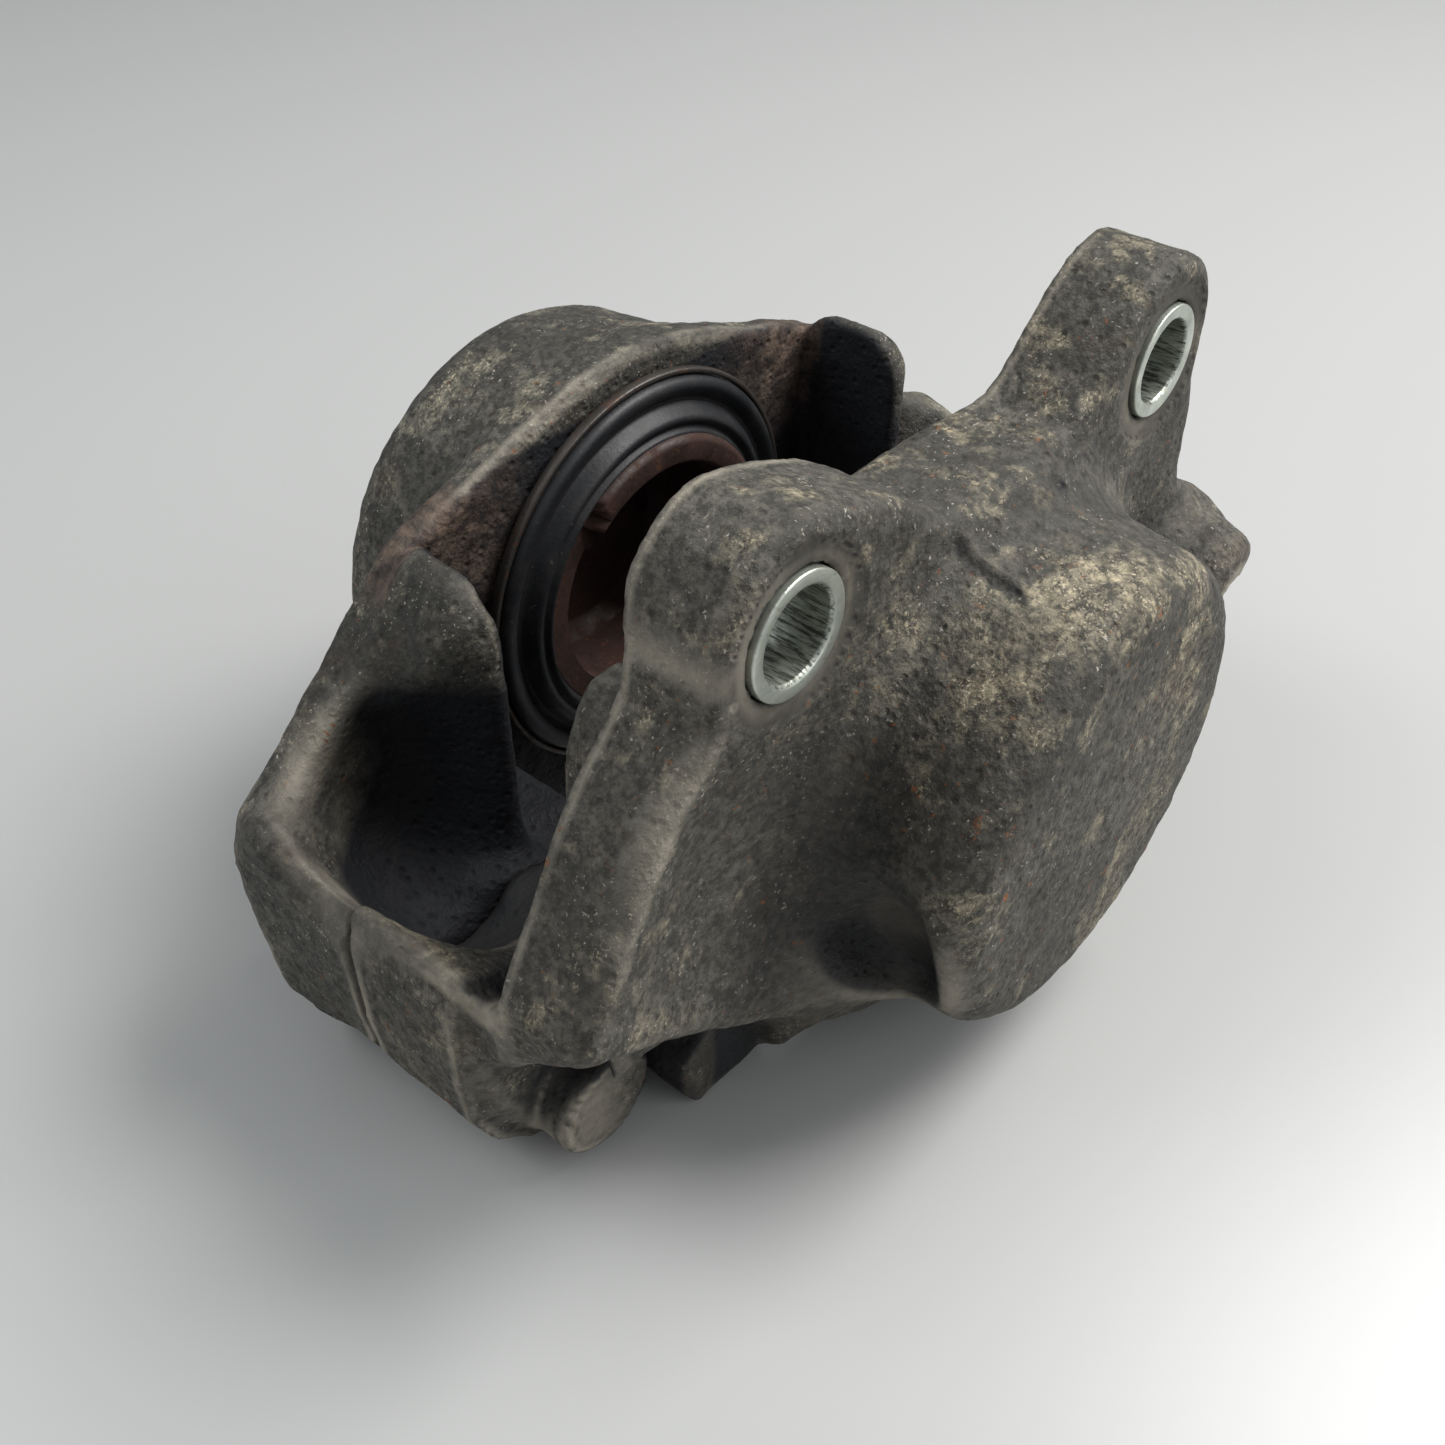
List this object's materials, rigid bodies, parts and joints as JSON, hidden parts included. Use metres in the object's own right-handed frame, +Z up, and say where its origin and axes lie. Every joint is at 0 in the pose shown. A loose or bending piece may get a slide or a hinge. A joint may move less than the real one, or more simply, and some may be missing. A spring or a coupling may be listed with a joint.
{
  "type": "brake caliper",
  "caption": "Fixed opposed-piston disc brake caliper in cast iron: two bolted halves round a disc slot, mounting ears with steel bushes, rubber dust boots.",
  "frame": {"origin": "on the ground under the caliper as it stands on its bridge: midway between the mounting ears, in the middle plane of the brake disc, level with the underside of the bridge", "axes": "+X along the bridge, from the left ear to the right ear; +Y along the piston axis, from the inner half to the outer half; +Z up, from the bridge towards the wheel hub"},
  "size_m": [0.158, 0.119, 0.1028],
  "materials": {
    "cast_iron": "sand-cast iron, grimy, tan dirt and orange rust spots",
    "bush_steel": "zinc-plated steel with wear streaks along the bore",
    "rusty_steel": "rust-brown steel",
    "dark_steel": "blackened, lightly rusted steel",
    "rubber": "dusty black rubber"
  },
  "bodies": {
    "housing": {"inner_housing": "cast_iron", "outer_housing": "cast_iron", "left_mounting_bush": "bush_steel", "right_mounting_bush": "bush_steel", "inner_piston_seal": "rubber", "outer_piston_seal": "rubber", "inner_dust_boot": "rubber", "outer_dust_boot": "rubber", "inner_boot_clamp_ring": "dark_steel", "outer_boot_clamp_ring": "dark_steel", "bridge_bolt_outer_left": "dark_steel", "bridge_bolt_inner_left": "dark_steel", "bridge_bolt_inner_right": "dark_steel", "bridge_bolt_outer_right": "dark_steel", "left_passage_seal": "rubber", "right_passage_seal": "rubber"},
    "inner_piston": {"inner_piston": "rusty_steel"},
    "outer_piston": {"outer_piston": "rusty_steel"},
    "bleeder": {"bleed_screw": "dark_steel", "bleed_screw_cap": "rubber"}
  },
  "joints": [
    {"name": "inner_piston_slide", "type": "slide", "parent": "housing", "child": "inner_piston", "axis": [0, 1, 0], "range_m": [0, 0.012]},
    {"name": "outer_piston_slide", "type": "slide", "parent": "housing", "child": "outer_piston", "axis": [0, -1, 0], "range_m": [0, 0.012]},
    {"name": "bleed_screw_turn", "type": "hinge", "parent": "housing", "child": "bleeder", "pos_m": [0.06, 0.043, 0.043], "axis": [0, 1, 0], "range_deg": [-270, 0]}
  ]
}
